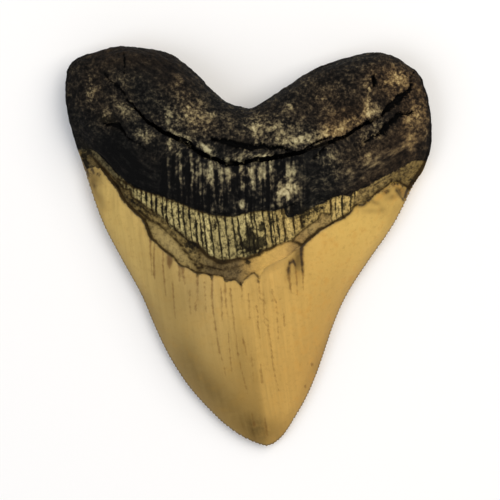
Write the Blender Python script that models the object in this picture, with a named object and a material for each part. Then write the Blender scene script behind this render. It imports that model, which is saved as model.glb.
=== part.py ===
"""A fossil shark tooth of the largest kind, one solid, lying on its labial face with the lingual face up.

Run it with: blender --background --python part.py, or from Blender's text editor.

Frame: metres. +Y runs from the crown's tip towards the root, +Z out of the lingual face, and the origin
is on the surface that the tooth lies on, under the middle of its box. Landmarks below are in millimetres.

A tooth is one skin, and it is modelled as one. A grid is wrapped round it: each column runs from the
cutting edge over the lingual face to the root's rim, and back under the labial face. Each named line below
is one row of that grid, from the left shoulder to the right one. The rows give the skin its places, and two
height functions, lingual and labial, give it its form.
"""

import math

import bmesh
import bpy
import numpy as np
from mathutils import Vector, noise

MM = 0.001

# Driving dimensions, in millimetres. Heights are above the resting surface.
CREST_HEIGHT = 26.0  # the thickest place, on the midline by the crevice
CREST_Y = 30.0
CROWN_SWELL = 2.1  # how soon the crown thickens from its tip
CROSS_FULLNESS = 2.2  # of a cut straight across, 2 being a parabola
TIP_EDGE_HEIGHT = 3.2  # the cutting edge at the tip
SHOULDER_HEIGHT = 5.5
LOBE_RIM_HEIGHT = 8.6  # the middle of the root's round rim
NOTCH_RIM_HEIGHT = 12.0
NOTCH_REACH = 13.0
ROOT_SIDE_HEIGHT = 13.5  # the root's sides, before the rim is rounded off
ROOT_SIDE_FROM_Y = 23.0
RIM_ROUND = 15.0
RIM_BAND = 5.0  # the steep part of the round, from the rim inwards
ENAMEL_STEP = 0.7  # the enamel ends in a low cliff over the neck
NECK_STEP = 0.4  # up from the neck to the bourlette
LIP_STEP = 1.5  # up from the bourlette to the root's lip
STEP_RUN = 0.5
LIP_RUN = 0.9
LIP_REACH = 20.0  # the lip's step fades into the root over this length
BOURLETTE_BULGE = 0.35
CREVICE_DEPTH = 3.0
CREVICE_WIDTH = 2.0
CREVICE_LEDGE = 0.6  # the root above the crevice stands over the root below it
ROOT_LUMP_HEIGHT = 1.6
ROOT_LUMP_LENGTH = 11.0
ROOT_LUMP_STRETCH = 1.6
LABIAL_LEVEL = 0.3
LABIAL_STEP = 0.4  # the labial enamel over the labial root
LABIAL_RIM_ROUND = 9.0
LABIAL_TIP_TURN = 34.0  # the labial face turns up to the tip over this length
LABIAL_CROWN_FULLNESS = 3.2  # of a cut straight across: the crown turns up slowly, the root at its sides
LABIAL_ROOT_FULLNESS = 13.0
SERRATION_DEPTH = 0.3
SERRATION_LENGTH = 1.4  # from the edge onto each face
SERRATIONS_PER_EDGE = 2  # between one column and the next, about 1.2 mm each
SERRATIONS_START = 9.0  # from the shoulders

LEFT_SHOULDER = (-60.2, 34.0)
RIGHT_SHOULDER = (62.9, 31.5)
TIP = (6.2, -70.2)
NOTCH = (-0.5, 48.1)

# The outline, and the lines where one band of the lingual face ends and the next begins.
CUTTING_EDGE = [
    LEFT_SHOULDER, (-58.2, 28.3), (-56.4, 22.2), (-53.6, 13.8), (-50.4, 6.1), (-44.6, -4.8), (-38.2, -16.3),
    (-33.6, -27.1), (-28.1, -38.6), (-20.9, -49.8), (-10.6, -60.8), (-2.6, -66.8), (3.4, -69.5), TIP,
    (9.0, -69.1), (12.9, -65.4), (18.8, -55.7), (23.1, -46.6), (26.1, -38.3), (29.8, -27.2), (34.7, -16.5),
    (42.1, -4.9), (50.0, 6.4), (54.2, 13.9), (57.6, 21.0), (61.2, 26.7), RIGHT_SHOULDER,
]  # fmt: skip
ROOT_RIM = [
    LEFT_SHOULDER, (-62.4, 41.0), (-63.9, 49.5), (-64.2, 57.0), (-62.5, 64.0), (-57.3, 67.2), (-51.0, 68.8),
    (-44.5, 70.1), (-36.6, 69.5), (-29.6, 67.9), (-22.0, 63.8), (-15.2, 56.9), (-8.6, 51.0), NOTCH,
    (3.6, 49.5), (10.1, 53.9), (18.6, 59.6), (27.5, 64.0), (36.0, 66.6), (43.4, 68.1), (48.8, 67.0),
    (54.2, 64.4), (59.2, 60.6), (61.6, 55.5), (63.2, 48.5), (63.8, 42.5), (64.2, 36.8), RIGHT_SHOULDER,
]  # fmt: skip
MARGIN_MIDDLE = (-1.0, -10.8)
ENAMEL_MARGIN = [
    LEFT_SHOULDER, (-56.6, 29.4), (-50.4, 26.4), (-44.8, 18.7), (-42.0, 14.4), (-36.6, 9.6), (-34.2, 3.8),
    (-31.2, 0.2), (-24.0, -6.1), (-16.5, -9.4), (-7.0, -11.2), MARGIN_MIDDLE, (5.0, -7.4), (13.6, -3.0),
    (21.4, 3.0), (33.2, 10.8), (37.2, 14.4), (49.7, 20.8), (56.6, 24.0), RIGHT_SHOULDER,
]  # fmt: skip
FOOT_MIDDLE = (-3.0, -2.9)
BOURLETTE_FOOT = [
    LEFT_SHOULDER, (-56.0, 31.2), (-50.6, 28.7), (-44.0, 21.8), (-37.4, 16.4), (-28.7, 9.2), (-21.6, 2.8),
    (-16.0, -1.6), (-9.0, -4.0), FOOT_MIDDLE, (6.0, -0.4), (14.0, 2.6), (20.0, 7.2), (28.5, 11.2),
    (35.4, 14.2), (49.6, 22.6), (57.0, 26.8), RIGHT_SHOULDER,
]  # fmt: skip
LIP_MIDDLE = (-2.0, 10.9)
ROOT_LIP = [
    LEFT_SHOULDER, (-57.2, 34.0), (-53.6, 33.4), (-50.0, 30.4), (-44.1, 23.6), (-37.6, 20.2), (-29.4, 17.3),
    (-18.0, 12.6), (-7.0, 10.4), LIP_MIDDLE, (9.8, 13.0), (28.3, 16.5), (42.7, 20.8), (49.7, 24.6),
    (55.6, 29.4), RIGHT_SHOULDER,
]  # fmt: skip
CREVICE_MIDDLE = (0.0, 29.4)
CREVICE = [
    LEFT_SHOULDER, (-57.6, 39.6), (-52.8, 46.8), (-45.4, 50.2), (-37.4, 46.2), (-32.9, 41.8), (-26.2, 37.4),
    (-20.6, 33.4), (-14.0, 30.2), (-5.0, 29.4), CREVICE_MIDDLE, (9.4, 29.7), (17.5, 32.2), (28.0, 34.9),
    (33.6, 38.0), (39.4, 42.1), (46.6, 46.4), (51.8, 47.2), (55.8, 43.2), (59.0, 37.2), RIGHT_SHOULDER,
]  # fmt: skip
LABIAL_MIDDLE = (0.0, 33.0)
LABIAL_MARGIN = [
    LEFT_SHOULDER, (-54.0, 28.4), (-38.0, 28.0), (-20.0, 31.4), LABIAL_MIDDLE, (20.0, 31.8), (40.0, 27.6),
    (56.5, 26.6), RIGHT_SHOULDER,
]  # fmt: skip

# The open stretch of the crevice, in x, and how fast it closes at each end.
CREVICE_FROM, CREVICE_TO = -46.0, 52.0
CREVICE_CLOSES_OVER = 14.0

# The labial face: a shallow hollow between the lobes, and three swells that the tooth rests on.
# Each is (x, y, radius along x, radius along y, height).
LABIAL_SWELLS = [
    (0.0, 40.0, 20.0, 22.0, 2.6),
    (-43.0, 47.0, 12.0, 12.0, -0.9),
    (44.0, 46.0, 12.0, 12.0, -0.9),
    (3.0, -36.0, 15.0, 22.0, -1.6),
]

# The grid: columns from shoulder to shoulder, and rows in each band.
COLUMNS = 96  # even, so that one column runs through the tip and the notch
CROWN_ROWS, NECK_ROWS, BOURLETTE_ROWS, LOWER_ROOT_ROWS, UPPER_ROOT_ROWS, RIM_ROWS = 8, 2, 3, 4, 5, 3
LABIAL_RIM_ROWS, LABIAL_ROOT_ROWS, LABIAL_CROWN_ROWS = 5, 3, 7
SHOULDER_TAPER = 0.06  # the share of the columns over which steps grow from nothing at each shoulder
WELD = 0.05  # closer points than this are one: where the skin meets itself, and at the shoulders

SHARE = np.linspace(0, 1, COLUMNS + 1)  # the way across the tooth at each column
NEAR_MIDDLE = 1 - np.abs(2 * SHARE - 1)
TAPER = np.clip(NEAR_MIDDLE / 2 / SHOULDER_TAPER, 0, 1)


def smooth_curve(landmarks, steps=24):
    """A Catmull-Rom curve through the landmarks, with each landmark at a multiple of steps."""
    p = np.array(landmarks, float)
    p = np.vstack([2 * p[0] - p[1], p, 2 * p[-1] - p[-2]])
    t = np.linspace(0, 1, steps, endpoint=False)[:, None]
    spans = []
    for a, b, c, d in zip(p[:-3], p[1:-2], p[2:-1], p[3:]):
        cubic = 2 * b + (c - a) * t + (2 * a - 5 * b + 4 * c - d) * t**2 + (3 * b - a - 3 * c + d) * t**3
        spans.append(cubic / 2)
    return np.vstack([*spans, p[-2:-1]])


def across(landmarks, middle, steps=24):
    """The curve's (x, y) at every column. Columns are evenly spaced on each side of the middle landmark."""
    curve = smooth_curve(landmarks, steps)
    gone = np.concatenate([[0], np.cumsum(np.linalg.norm(np.diff(curve, axis=0), axis=1))])
    half = gone[landmarks.index(middle) * steps]
    side = np.linspace(0, 1, COLUMNS // 2 + 1)
    at = np.concatenate([side * half, half + side[1:] * (gone[-1] - half)])
    return np.column_stack([np.interp(at, gone, curve[:, k]) for k in range(2)])


EDGE_CURVE = smooth_curve(CUTTING_EDGE)
RIM_CURVE = smooth_curve(ROOT_RIM)


def smoothstep(value, start, end):
    t = np.clip((value - start) / (end - start), 0, 1)
    return t * t * (3 - 2 * t)


def side_of_tooth(sign):
    """One side of the outline, tip to lobe, as (y, x) with y rising."""
    tip = np.argmin(EDGE_CURVE[:, 1])
    widest = np.argmax(sign * RIM_CURVE[:, 0])
    if sign < 0:
        return np.vstack([EDGE_CURVE[tip::-1], RIM_CURVE[:widest]])[:, ::-1]
    return np.vstack([EDGE_CURVE[tip:], RIM_CURVE[:widest:-1]])[:, ::-1]


LEFT_SIDE, RIGHT_SIDE = side_of_tooth(-1), side_of_tooth(1)


def outline_height(x, y):
    """The height of the cutting edge, and of the middle of the root's rim."""
    edge = TIP_EDGE_HEIGHT + (SHOULDER_HEIGHT - TIP_EDGE_HEIGHT) * smoothstep(y, TIP[1], LEFT_SHOULDER[1])
    on_root = smoothstep(y, RIGHT_SHOULDER[1], NOTCH[1])
    notch = (NOTCH_RIM_HEIGHT - LOBE_RIM_HEIGHT) * np.exp(-((x - NOTCH[0]) ** 2) / NOTCH_REACH**2)
    return edge + on_root * (LOBE_RIM_HEIGHT - SHOULDER_HEIGHT + notch)


def off_middle(x, y):
    """0 on the tooth's midline, 1 on its outline."""
    left, right = np.interp(y, *LEFT_SIDE.T), np.interp(y, *RIGHT_SIDE.T)
    return np.clip(np.abs(2 * (x - left) / np.maximum(right - left, 0.1) - 1), 0, 1)


def to_rim(x, y):
    return np.hypot(x[:, None] - RIM_CURVE[:, 0], y[:, None] - RIM_CURVE[:, 1]).min(axis=1)


def rounding(x, y, radius):
    """0 at the root's rim, rising as a quarter circle does to 1 at the radius from it."""
    return np.sqrt(1 - (1 - np.clip(to_rim(x, y) / radius, 0, 1)) ** 2)


def lingual_height(x, y):
    """The lingual face without its steps: a swell across the tooth, rounded off towards the root's rim."""
    low = outline_height(x, y)
    along = np.clip((y - TIP[1]) / (CREST_Y - TIP[1]), 0, 1)
    crest = TIP_EDGE_HEIGHT + (CREST_HEIGHT - TIP_EDGE_HEIGHT) * (1 - (1 - along) ** CROWN_SWELL)
    side = low + (ROOT_SIDE_HEIGHT - low) * smoothstep(y, ROOT_SIDE_FROM_Y, NOTCH[1])
    body = side + (crest - side) * (1 - off_middle(x, y) ** CROSS_FULLNESS)
    return low + (body - low) * rounding(x, y, RIM_ROUND)


def labial_height(x, y):
    """The labial face: flat, and turned up to the outline."""
    level = LABIAL_LEVEL
    for at_x, at_y, radius_x, radius_y, height in LABIAL_SWELLS:
        level = level + height * np.exp(-(((x - at_x) / radius_x) ** 2) - ((y - at_y) / radius_y) ** 2)
    on_root = smoothstep(y, 0, NOTCH[1])
    fullness = LABIAL_CROWN_FULLNESS + (LABIAL_ROOT_FULLNESS - LABIAL_CROWN_FULLNESS) * on_root
    from_tip = 1 - (1 - np.clip((y - TIP[1]) / LABIAL_TIP_TURN, 0, 1)) ** LABIAL_CROWN_FULLNESS
    turned_up = 1 - (1 - off_middle(x, y) ** fullness) * from_tip * rounding(x, y, LABIAL_RIM_ROUND)
    return level + (outline_height(x, y) - level) * turned_up


def between(start, end, count):
    """Rows in plan after start, up to and with end."""
    return [start + (end - start) * k / count for k in range(1, count + 1)]


def towards(row, target, distance):
    """The row moved in plan towards the target row. The move fades at the shoulders."""
    way = target - row
    length = np.maximum(np.linalg.norm(way, axis=1), 1e-6)
    moved = np.minimum(distance * TAPER, 0.4 * length)
    return row + way * (moved / length)[:, None]


def inset(row, distance, inward):
    """The row moved in plan to its inner side: 1 to the left of its run, -1 to the right."""
    run = np.gradient(row, axis=0)
    run /= np.linalg.norm(run, axis=1)[:, None]
    return row + distance * inward * TAPER[:, None] * np.column_stack([-run[:, 1], run[:, 0]])


def round_over(rim, inner, count):
    """Rows in plan from the inner row out to the rim, spaced so that a quarter circle over them is even."""
    turns = [math.cos(math.pi / 2 * k / count) for k in range(1, count + 1)]
    return [rim + (inner - rim) * (1 - math.sqrt(1 - turn**2)) for turn in turns]


def lingual(row, step=0.0):
    """The row laid on the lingual face, with a step that fades at the shoulders."""
    x, y = row.T
    return np.column_stack([x, y, lingual_height(x, y) + step * TAPER])


def labial(row, step=0.0):
    """The row laid on the labial face. What would stand out under the resting surface is worn flat there."""
    x, y = row.T
    return np.column_stack([x, y, np.maximum(labial_height(x, y) + step * TAPER, 0)])


def crown_band(edge, margin):
    serrated_to = inset(edge, SERRATION_LENGTH, 1)
    return [lingual(row) for row in [serrated_to, *between(serrated_to, margin, CROWN_ROWS)]]


def neck_band(margin, foot):
    top = towards(margin, foot, STEP_RUN)
    return [lingual(row, -ENAMEL_STEP) for row in [top, *between(top, foot, NECK_ROWS)]]


def bourlette_band(foot, lip):
    top = towards(foot, lip, STEP_RUN)
    rows = []
    for k, row in enumerate([top, *between(top, lip, BOURLETTE_ROWS)]):
        bulge = BOURLETTE_BULGE * math.sin(math.pi * k / BOURLETTE_ROWS)
        rows.append(lingual(row, NECK_STEP - ENAMEL_STEP + bulge))
    return rows


def lumps(row):
    """Low lumps, drawn out along the root. Each place in the noise is (x, y, seed)."""
    places = [Vector((x / ROOT_LUMP_STRETCH, y, 40.0)) / ROOT_LUMP_LENGTH for x, y in row]
    return np.array([noise.fractal(place, 0.8, 2.2, 2) for place in places])


def root_band(lip, crevice, rim):
    """From the lip over the crevice to the rim. Its lumps fade at the lip and at the rim."""
    open_share = smoothstep(crevice[:, 0], CREVICE_FROM, CREVICE_FROM + CREVICE_CLOSES_OVER)
    open_share *= 1 - smoothstep(crevice[:, 0], CREVICE_TO - CREVICE_CLOSES_OVER, CREVICE_TO)
    gape = CREVICE_WIDTH * (0.35 + 0.65 * open_share)
    brow = towards(lip, crevice, LIP_RUN)
    lower_lip = towards(crevice, brow, gape / 2)
    upper_lip = towards(crevice, rim, gape / 2)
    inner_rim = inset(rim, RIM_BAND, -1)
    plan = [brow, *between(brow, lower_lip, LOWER_ROOT_ROWS), crevice, upper_lip]
    plan += [*between(upper_lip, inner_rim, UPPER_ROOT_ROWS), *round_over(rim, inner_rim, RIM_ROWS)]
    floor = LOWER_ROOT_ROWS + 1
    rows = []
    from_lip = np.zeros(len(brow))
    for k, row in enumerate(plan):
        from_lip = from_lip + np.linalg.norm(row - plan[max(k - 1, 0)], axis=1)
        near_lip = 1 - smoothstep(from_lip, 0, LIP_REACH)
        step = (LIP_STEP + NECK_STEP - ENAMEL_STEP) * near_lip
        step += ROOT_LUMP_HEIGHT * smoothstep(from_lip, 0, RIM_BAND) * lumps(row)
        if k == floor:
            step -= CREVICE_DEPTH * open_share
        if k > floor:
            step += CREVICE_LEDGE * open_share * (1 - (k - floor) / (len(plan) - floor))
        rows.append(lingual(row, step * smoothstep(to_rim(*row.T), 0, RIM_BAND)))
    return rows


def labial_root_band(rim, margin):
    """The round under the rim, then the flat of the root, up to the labial margin."""
    inner_rim = inset(rim, RIM_BAND, -1)
    under_rim = round_over(rim, inner_rim, LABIAL_RIM_ROWS)[-2::-1]
    plan = [*under_rim, inner_rim, *between(inner_rim, margin, LABIAL_ROOT_ROWS)]
    return [labial(row) for row in plan]


def labial_crown_band(margin, edge):
    """From the labial margin to where the serrations end. The enamel's step fades away from the margin."""
    top = towards(margin, edge, STEP_RUN)
    serrated_to = inset(edge, SERRATION_LENGTH, 1)
    rows = [top, *between(top, serrated_to, LABIAL_CROWN_ROWS)]
    return [labial(row, -LABIAL_STEP * (1 - k / LABIAL_CROWN_ROWS)) for k, row in enumerate(rows)]


def skin():
    """Every row of the wrapped grid, and the finish of the cells that end at it."""
    edge = across(CUTTING_EDGE, TIP)
    margin = across(ENAMEL_MARGIN, MARGIN_MIDDLE)
    foot = across(BOURLETTE_FOOT, FOOT_MIDDLE)
    lip = across(ROOT_LIP, LIP_MIDDLE)
    crevice = across(CREVICE, CREVICE_MIDDLE)
    rim = across(ROOT_RIM, NOTCH)
    labial_margin = across(LABIAL_MARGIN, LABIAL_MIDDLE)
    edge_row = np.column_stack([edge, outline_height(*edge.T)])
    bands = [
        ("enamel", [edge_row, *crown_band(edge, margin)]),
        ("neck", neck_band(margin, foot)),
        ("bourlette", bourlette_band(foot, lip)),
        ("root", root_band(lip, crevice, rim)),
        ("root", labial_root_band(rim, labial_margin)),
        ("enamel", [*labial_crown_band(labial_margin, edge), edge_row]),
    ]
    rows = np.array([row for _, band in bands for row in band])
    finishes = [finish for finish, band in bands for _ in band]
    return rows, finishes


def wrap_grid(rows, finishes, names):
    """A flat grid whose points are moved onto the rows, then welded where it meets itself."""
    bm = bmesh.new()
    bmesh.ops.create_grid(bm, x_segments=COLUMNS, y_segments=len(rows) - 1, size=1)
    row_of = bm.verts.layers.int.new("row")
    for vert in bm.verts:
        column = round((vert.co.x + 1) / 2 * COLUMNS)
        vert[row_of] = round((vert.co.y + 1) / 2 * (len(rows) - 1))
        vert.co = Vector(rows[vert[row_of], column]) * MM
    for face in bm.faces:
        last_row = max(vert[row_of] for vert in face.verts)
        face.material_index = names.index(finishes[last_row])
    for vert in bm.verts:
        vert[row_of] %= len(rows) - 1
    bmesh.ops.remove_doubles(bm, verts=bm.verts, dist=WELD * MM)
    return bm, row_of


def serrate(bm, row_of):
    """Fine serrations along the cutting edge, made by drawing every other point of it in."""
    cuts = 2 * SERRATIONS_PER_EDGE - 1
    shoulders = LEFT_SHOULDER, RIGHT_SHOULDER
    for edge in [e for e in bm.edges if all(v[row_of] == 0 for v in e.verts)]:
        start, end = (v.co.copy() for v in edge.verts)
        length = (end - start).length
        if min(math.dist(start.xy / MM, shoulder) for shoulder in shoulders) < SERRATIONS_START:
            continue
        inward = Vector((start.y - end.y, end.x - start.x, 0)).normalized()
        inside = sum((f.calc_center_median() for f in edge.link_faces), Vector()) / 2
        if inward.dot(inside - start) < 0:
            inward.negate()
        made = bmesh.ops.subdivide_edges(bm, edges=[edge], cuts=cuts, use_single_edge=True)["geom_inner"]
        for vert in (v for v in made if isinstance(v, bmesh.types.BMVert)):
            place = round((vert.co - start).length / length * (cuts + 1))
            if place % 2 == 1:
                vert.co += inward * SERRATION_DEPTH * MM


def finish_material(name, colour, roughness):
    material = bpy.data.materials.new(name)
    material.use_nodes = True
    shader = material.node_tree.nodes["Principled BSDF"]
    shader.inputs["Base Color"].default_value = (*colour, 1.0)
    shader.inputs["Roughness"].default_value = roughness
    shader.inputs["Metallic"].default_value = 0.0
    material.diffuse_color = (*colour, 1.0)
    return material


def main():
    for old in list(bpy.data.objects):
        bpy.data.objects.remove(old, do_unlink=True)
    finishes = [
        finish_material("enamel", (0.56, 0.37, 0.12), 0.35),
        finish_material("neck", (0.16, 0.12, 0.06), 0.6),
        finish_material("bourlette", (0.25, 0.2, 0.09), 0.6),
        finish_material("root", (0.03, 0.025, 0.018), 0.75),
    ]
    bm, row_of = wrap_grid(*skin(), [finish.name for finish in finishes])
    serrate(bm, row_of)
    bmesh.ops.triangulate(bm, faces=bm.faces)
    bmesh.ops.recalc_face_normals(bm, faces=bm.faces)
    low = Vector([min(v.co[axis] for v in bm.verts) for axis in range(3)])
    high = Vector([max(v.co[axis] for v in bm.verts) for axis in range(3)])
    bmesh.ops.translate(bm, verts=bm.verts, vec=(-(low.x + high.x) / 2, -(low.y + high.y) / 2, -low.z))
    mesh = bpy.data.meshes.new("tooth")
    bm.to_mesh(mesh)
    bm.free()
    for finish in finishes:
        mesh.materials.append(finish)
    mesh.shade_smooth()
    mesh.set_sharp_from_angle(angle=math.radians(30))
    tooth = bpy.data.objects.new("tooth", mesh)
    collection = bpy.data.collections.new("Megalodon tooth")
    bpy.context.scene.collection.children.link(collection)
    collection.objects.link(tooth)


main()
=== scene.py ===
import math

import bpy
import numpy as np
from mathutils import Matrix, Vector, kdtree, noise


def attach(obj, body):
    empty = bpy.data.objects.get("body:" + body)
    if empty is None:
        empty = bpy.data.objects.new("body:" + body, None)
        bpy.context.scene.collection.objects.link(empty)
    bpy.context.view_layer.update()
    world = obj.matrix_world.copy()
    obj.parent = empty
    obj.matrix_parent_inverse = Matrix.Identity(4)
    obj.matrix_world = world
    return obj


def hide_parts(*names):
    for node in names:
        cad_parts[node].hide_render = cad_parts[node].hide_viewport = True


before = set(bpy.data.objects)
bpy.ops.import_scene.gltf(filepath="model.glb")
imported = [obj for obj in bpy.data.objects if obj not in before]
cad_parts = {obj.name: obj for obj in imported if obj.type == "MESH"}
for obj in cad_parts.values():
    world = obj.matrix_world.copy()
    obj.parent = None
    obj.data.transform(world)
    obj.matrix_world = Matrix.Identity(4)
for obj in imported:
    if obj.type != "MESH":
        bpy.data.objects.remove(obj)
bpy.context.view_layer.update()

# Landmarks and sizes below are in millimetres, in the frame of the CAD model.
MM = 0.001

# ---------------------------------------------------------------------------------------------------------
# The tooth: its form
#
# One fossil tooth of a giant shark. Crown, neck, bourlette and root grew as one piece, so this is one piece
# too. It starts as a copy of the CAD tooth, subdivided fine enough to carry the relief of the real surface.
# ---------------------------------------------------------------------------------------------------------

bpy.ops.object.select_all(action="DESELECT")
tooth = bpy.data.objects.new("fossil_tooth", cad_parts["tooth"].data.copy())
bpy.context.scene.collection.objects.link(tooth)
bpy.context.view_layer.objects.active = tooth
tooth.select_set(True)

# When the skin is subdivided, its low cliffs stay firm, and its cutting edge and crevice stay sharp.
WELD = 0.005
QUAD_FACE_ANGLE, QUAD_SHAPE_ANGLE = math.radians(60), math.radians(70)
CLIFF_ANGLE, CLIFF_CREASE = math.radians(20), 0.4
KNIFE_ANGLE, KNIFE_CREASE = math.radians(80), 1.0
bpy.ops.object.mode_set(mode="EDIT")
bpy.ops.mesh.select_all(action="SELECT")
bpy.ops.mesh.remove_doubles(threshold=WELD * MM)
bpy.ops.mesh.customdata_custom_splitnormals_clear()
bpy.ops.mesh.tris_convert_to_quads(face_threshold=QUAD_FACE_ANGLE, shape_threshold=QUAD_SHAPE_ANGLE)
bpy.ops.mesh.select_mode(type="EDGE")
for angle, crease in ((CLIFF_ANGLE, CLIFF_CREASE), (KNIFE_ANGLE, KNIFE_CREASE)):
    bpy.ops.mesh.select_all(action="DESELECT")
    bpy.ops.mesh.edges_select_sharp(sharpness=angle)
    bpy.ops.transform.edge_crease(value=crease)
bpy.ops.mesh.select_all(action="DESELECT")
bpy.ops.object.mode_set(mode="OBJECT")

# The root's relief is finer than its faces are long, so each long edge there is cut once before the rest.
LONG_EDGE = 2.2
ROOT_FROM_Y = 14.0
ROOT_FROM_Z = 9.5
mesh = tooth.data
for edge in mesh.edges:
    start, end = (mesh.vertices[v].co / MM for v in edge.vertices)
    on_lingual_root = min(start.y, end.y) > ROOT_FROM_Y and min(start.z, end.z) > ROOT_FROM_Z
    edge.select = on_lingual_root and (end - start).length > LONG_EDGE
bpy.ops.object.mode_set(mode="EDIT")
bpy.ops.mesh.subdivide(number_cuts=1, smoothness=0)
bpy.ops.object.mode_set(mode="OBJECT")

finer = tooth.modifiers.new("finer", "SUBSURF")
finer.levels = finer.render_levels = 2
bpy.ops.object.modifier_apply(modifier="finer")

mesh = tooth.data
count = len(mesh.vertices)
flat = np.empty(count * 3)
mesh.vertices.foreach_get("co", flat)
place = flat.reshape(-1, 3) / MM
mesh.vertices.foreach_get("normal", flat)
normal = flat.reshape(-1, 3).copy()
x, y, z = place.T.copy()
lingual = normal[:, 2] > 0


def fade(value, start, end):
    """0 at start, 1 at end, smooth between. End may be below start."""
    t = np.clip((value - start) / (end - start), 0, 1)
    return t * t * (3 - 2 * t)


def rough(size, octaves, seed, stretch=(1, 1, 1)):
    """Fractal noise at every point of the skin. Size is its largest lump, in millimetres."""
    at = place / size / np.array(stretch) + seed * 7.3
    return np.array([noise.fractal(Vector(p), 0.9, 2.0, octaves) for p in at])


def to_line(line):
    """Each point's distance in plan from a line that runs left to right, + on the root's side of it."""
    line = np.array(line, float)
    start, way = line[:-1], np.diff(line, axis=0)
    points = place[:, None, :2]
    share = np.clip(((points - start) * way).sum(2) / (way**2).sum(1), 0, 1)
    gap = np.linalg.norm(points - start - share[..., None] * way, axis=2).min(axis=1)
    return np.where(y > np.interp(x, line[:, 0], line[:, 1]), gap, -gap)


# Where each part of the lingual face ends: the enamel's worn margin, the foot of the bourlette and the
# root's lip. Right of the bourlette's last tab, its foot runs on under the lip.
LEFT_SHOULDER, RIGHT_SHOULDER = (-60.2, 34.0), (62.9, 31.5)
ENAMEL_MARGIN = [
    LEFT_SHOULDER, (-57.0, 27.3), (-54.9, 27.8), (-52.1, 27.3), (-50.0, 24.8), (-47.9, 21.9), (-46.2, 19.8),
    (-44.6, 16.8), (-43.0, 15.0), (-40.9, 12.6), (-38.8, 10.7), (-37.1, 9.6), (-36.0, 7.2), (-35.0, 3.3),
    (-32.9, 1.6), (-31.1, -0.2), (-29.0, -1.9), (-27.3, -3.3), (-25.9, -4.4), (-24.8, -5.9), (-23.6, -6.8),
    (-21.3, -7.3), (-19.6, -8.6), (-18.1, -9.4), (-17.8, -10.7), (-17.3, -9.4), (-15.4, -9.3),
    (-13.6, -9.8), (-12.9, -12.1), (-12.2, -10.1), (-10.1, -10.0), (-8.9, -10.7), (-8.3, -12.8),
    (-7.7, -12.1), (-5.2, -11.5), (-3.5, -12.2), (-2.7, -13.5), (-1.9, -12.1), (-0.7, -10.7), (0.7, -9.4),
    (1.8, -9.1), (2.8, -10.3), (3.4, -12.8), (4.0, -10.3), (5.2, -7.5), (9.1, -5.4), (13.6, -3.3),
    (16.4, -1.2), (18.2, -0.3), (19.6, 1.2), (21.0, 2.4), (22.8, 3.8), (24.1, 5.2), (26.6, 6.5),
    (29.0, 7.9), (31.1, 9.1), (32.9, 10.0), (35.0, 11.4), (36.0, 12.9), (37.4, 14.2), (40.2, 14.9),
    (42.7, 17.0), (45.1, 19.1), (47.6, 20.5), (49.7, 22.2), (51.8, 22.0), (53.9, 21.0), (56.3, 19.6),
    (59.1, 17.7), (63.3, 14.9),
]  # fmt: skip
BOURLETTE_FOOT = [
    LEFT_SHOULDER, (-57.7, 33.4), (-55.6, 32.2), (-53.5, 30.3), (-51.4, 28.3), (-49.3, 26.4), (-47.2, 24.1),
    (-45.5, 22.4), (-44.4, 21.2), (-43.4, 19.9), (-41.6, 19.6), (-40.6, 17.3), (-38.1, 15.7), (-34.6, 12.9),
    (-31.1, 10.3), (-29.0, 8.6), (-26.9, 6.5), (-24.1, 4.4), (-21.7, 2.1), (-19.9, 1.2), (-17.8, 0.9),
    (-16.1, -1.0), (-14.7, -2.6), (-12.6, -3.7), (-10.8, -4.7), (-8.8, -5.1), (-6.3, -4.4), (-3.1, -3.7),
    (-0.7, -3.8), (1.0, -3.0), (3.1, -2.4), (5.2, -1.0), (7.3, -0.5), (9.8, 0.5), (12.2, 1.4), (14.7, 2.3),
    (16.4, 3.8), (18.9, 5.9), (21.3, 7.7), (24.1, 9.6), (24.7, 11.4), (28.2, 11.1), (28.6, 7.9),
    (31.1, 9.3), (32.9, 10.1), (35.0, 11.5), (36.0, 13.3), (36.6, 17.0), (38.1, 19.6), (41.6, 21.2),
    (45.1, 23.3), (48.6, 24.8), (51.4, 26.4), (54.6, 28.3), (58.1, 30.1),
]  # fmt: skip
ROOT_LIP = [
    LEFT_SHOULDER, (-57.0, 34.3), (-54.6, 33.8), (-52.1, 31.7), (-50.0, 29.6), (-47.9, 27.3), (-45.8, 25.2),
    (-43.8, 23.4), (-41.6, 21.7), (-39.5, 20.6), (-37.4, 19.7), (-34.6, 18.7), (-31.1, 17.7), (-27.6, 16.4),
    (-24.1, 15.2), (-20.6, 13.6), (-17.1, 12.4), (-14.7, 11.5), (-11.9, 10.7), (-8.4, 10.5), (-4.9, 10.3),
    (-1.4, 11.4), (2.1, 12.2), (4.9, 12.4), (9.1, 12.2), (11.9, 12.9), (12.9, 10.3), (14.3, 9.8),
    (15.7, 10.3), (17.5, 11.0), (18.9, 11.4), (20.3, 12.6), (23.1, 14.0), (26.2, 14.9), (27.6, 16.1),
    (28.7, 16.8), (31.8, 17.5), (35.0, 17.3), (36.0, 18.5), (38.1, 19.6), (41.6, 21.2), (45.1, 23.3),
    (48.6, 24.8), (51.4, 26.4), (54.6, 28.3), (58.1, 30.1),
]  # fmt: skip
LABIAL_MARGIN = [
    LEFT_SHOULDER, (-54.0, 28.4), (-38.0, 28.0), (-20.0, 31.4), (0.0, 33.0), (20.0, 31.8), (40.0, 27.6),
    (56.5, 26.6), RIGHT_SHOULDER,
]  # fmt: skip
labial_edge = to_line(LABIAL_MARGIN)
to_margin = np.where(lingual, to_line(ENAMEL_MARGIN), labial_edge)
to_foot = np.where(lingual, to_line(BOURLETTE_FOOT), labial_edge)
to_lip = np.where(lingual, to_line(ROOT_LIP), labial_edge)

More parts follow.
